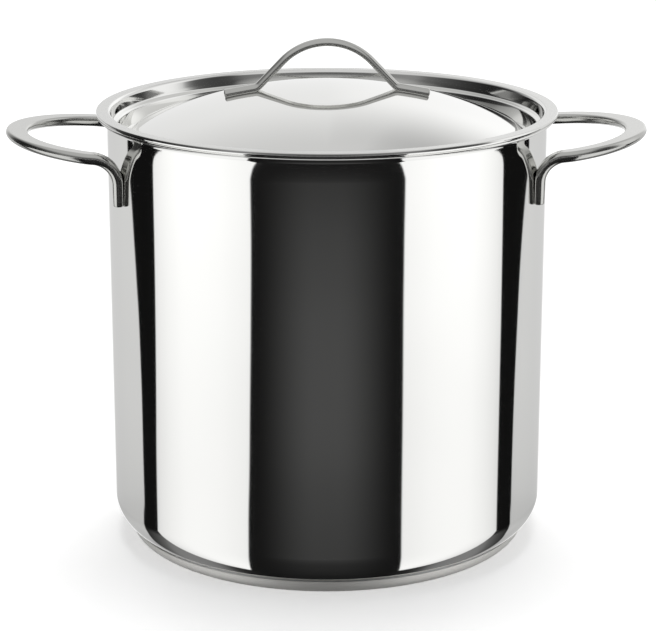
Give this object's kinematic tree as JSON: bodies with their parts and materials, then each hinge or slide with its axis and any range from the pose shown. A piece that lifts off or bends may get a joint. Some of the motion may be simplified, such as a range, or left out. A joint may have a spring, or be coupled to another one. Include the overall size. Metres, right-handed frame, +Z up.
{
  "type": "water bath canner",
  "caption": "Lidded stainless steel canning pot with welded bar handles, layered base, recessed dome lid and a wire jar rack with fold-down lifting bails.",
  "frame": {"origin": "centre of the underside of the base, where the pot stands on a hob", "axes": "+Z up along the pot's axis, +X through the right side handle, -Y towards the front"},
  "size_m": [0.437, 0.314, 0.3476],
  "materials": {
    "pot_body": "mirror-polished stainless steel",
    "base_core": "rolled aluminium sheet",
    "base_capsule": "mirror-polished stainless steel",
    "left_side_handle": "mirror-polished stainless steel",
    "right_side_handle": "mirror-polished stainless steel",
    "lid_pan": "mirror-polished stainless steel",
    "lid_handle": "mirror-polished stainless steel",
    "rack_outer_ring": "drawn stainless steel wire, electropolished",
    "rack_middle_ring": "drawn stainless steel wire, electropolished",
    "rack_inner_ring": "drawn stainless steel wire, electropolished",
    "rack_spoke_1": "drawn stainless steel wire, electropolished",
    "rack_spoke_2": "drawn stainless steel wire, electropolished",
    "rack_spoke_3": "drawn stainless steel wire, electropolished",
    "rack_spoke_4": "drawn stainless steel wire, electropolished",
    "rack_spoke_5": "drawn stainless steel wire, electropolished",
    "rack_spoke_6": "drawn stainless steel wire, electropolished",
    "rack_spoke_7": "drawn stainless steel wire, electropolished",
    "rack_spoke_8": "drawn stainless steel wire, electropolished",
    "rack_foot_1": "drawn stainless steel wire, electropolished",
    "rack_foot_2": "drawn stainless steel wire, electropolished",
    "rack_foot_3": "drawn stainless steel wire, electropolished",
    "rack_foot_4": "drawn stainless steel wire, electropolished",
    "rack_eye_left_front": "drawn stainless steel wire, electropolished",
    "rack_eye_left_back": "drawn stainless steel wire, electropolished",
    "rack_eye_right_front": "drawn stainless steel wire, electropolished",
    "rack_eye_right_back": "drawn stainless steel wire, electropolished",
    "rack_bail_left": "drawn stainless steel wire, electropolished",
    "rack_bail_right": "drawn stainless steel wire, electropolished"
  },
  "bodies": {
    "pot": {"pot_body": "pot_body", "base_core": "base_core", "base_capsule": "base_capsule", "left_side_handle": "left_side_handle", "right_side_handle": "right_side_handle"},
    "lid": {"lid_pan": "lid_pan", "lid_handle": "lid_handle"},
    "rack": {"rack_outer_ring": "rack_outer_ring", "rack_middle_ring": "rack_middle_ring", "rack_inner_ring": "rack_inner_ring", "rack_spoke_1": "rack_spoke_1", "rack_spoke_2": "rack_spoke_2", "rack_spoke_3": "rack_spoke_3", "rack_spoke_4": "rack_spoke_4", "rack_spoke_5": "rack_spoke_5", "rack_spoke_6": "rack_spoke_6", "rack_spoke_7": "rack_spoke_7", "rack_spoke_8": "rack_spoke_8", "rack_foot_1": "rack_foot_1", "rack_foot_2": "rack_foot_2", "rack_foot_3": "rack_foot_3", "rack_foot_4": "rack_foot_4", "rack_eye_left_front": "rack_eye_left_front", "rack_eye_left_back": "rack_eye_left_back", "rack_eye_right_front": "rack_eye_right_front", "rack_eye_right_back": "rack_eye_right_back"},
    "left_bail": {"rack_bail_left": "rack_bail_left"},
    "right_bail": {"rack_bail_right": "rack_bail_right"}
  },
  "joints": [
    {"name": "lid_lift", "type": "slide", "parent": "pot", "child": "lid", "axis": [0, 0, 1], "range_m": [0, 0.25]},
    {"name": "rack_lift", "type": "slide", "parent": "pot", "child": "rack", "axis": [0, 0, 1], "range_m": [0, 0.038]},
    {"name": "left_bail_fold", "type": "hinge", "parent": "rack", "child": "left_bail", "pos_m": [-0.12104, 0, 0.0363], "axis": [0, 1, 0], "range_deg": [0, 90]},
    {"name": "right_bail_fold", "type": "hinge", "parent": "rack", "child": "right_bail", "pos_m": [0.12104, 0, 0.0363], "axis": [0, -1, 0], "range_deg": [0, 82]}
  ]
}
